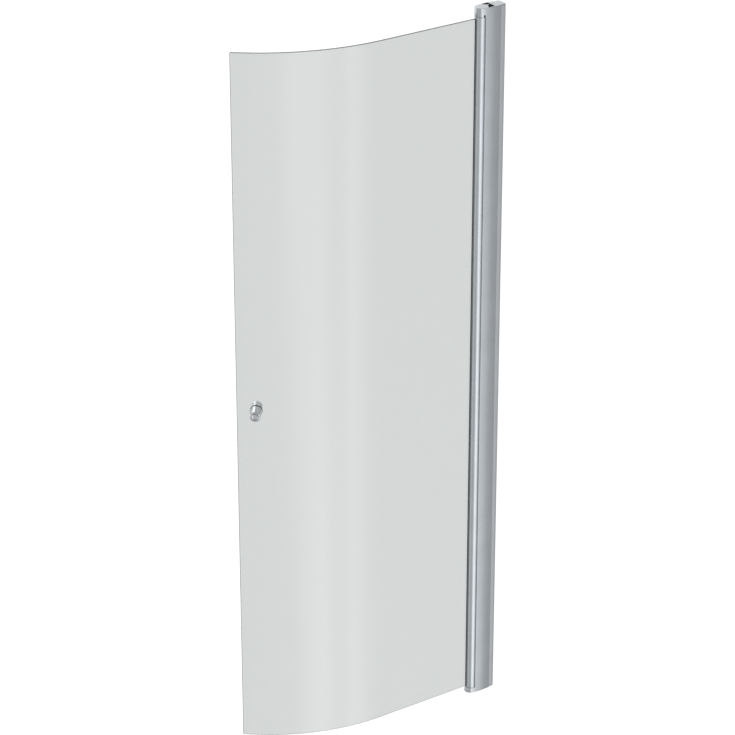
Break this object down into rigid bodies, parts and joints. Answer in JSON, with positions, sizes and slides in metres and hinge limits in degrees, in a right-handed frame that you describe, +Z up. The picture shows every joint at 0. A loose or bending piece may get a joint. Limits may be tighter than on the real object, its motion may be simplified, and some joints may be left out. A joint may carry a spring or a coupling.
{
  "type": "shower door",
  "caption": "Curved clear glass shower door held by a full-height round pivot bar in a silver aluminium wall post, with a round knob on both faces.",
  "frame": {"origin": "The point on the wall plane on the centre line of the wall channel, level with the lower end of the door.", "axes": "+X points into the wall, so the closed door runs to -X. +Z is up along the pivot. -Y is the outside of the shower, +Y the inside."},
  "size_m": [0.7083, 0.1591, 1.945],
  "materials": {
    "anodised": "bright silver anodised extrusion",
    "satin_silver": "satin silver",
    "stainless": "turned stainless steel",
    "dark_steel": "blackened steel",
    "polished_knob": "polished chrome",
    "silver_plastic": "silver-grey plastic",
    "acetal": "white bearing plastic",
    "clear_plastic": "clear plastic",
    "dark_rubber": "dark grey rubber",
    "clear_glass": "clear toughened glass"
  },
  "bodies": {
    "wall_side": {"wall_channel": "anodised"},
    "post_side": {"post": "anodised", "lip_seals": "dark_rubber", "top_cap": "satin_silver", "bottom_cap": "satin_silver", "cap_screws": "stainless", "lock_screw": "dark_steel", "top_bush": "acetal", "bottom_bush": "acetal", "thrust_washer": "stainless", "adjust_screws": "stainless", "nut_plates": "stainless", "screw_caps": "silver_plastic"},
    "door": {"pivot_bar": "anodised", "bar_top_plate": "satin_silver", "bar_bottom_plate": "satin_silver", "plate_screws": "stainless", "top_pin": "stainless", "bottom_pin": "stainless", "glass": "clear_glass", "outer_gasket": "dark_rubber", "inner_gasket": "dark_rubber", "glass_pad": "dark_rubber", "knob_outer": "polished_knob", "knob_inner": "polished_knob", "knob_stud": "stainless", "knob_sleeve": "clear_plastic", "knob_washers": "clear_plastic", "knob_grub": "dark_steel"}
  },
  "joints": [
    {"name": "wall_adjust", "type": "slide", "parent": "wall_side", "child": "post_side", "axis": [-1, 0, 0], "range_m": [0, 0.007]},
    {"name": "door_swing", "type": "hinge", "parent": "post_side", "child": "door", "pos_m": [-0.065, 0, 0], "axis": [0, 0, 1], "range_deg": [-80, 90]}
  ]
}
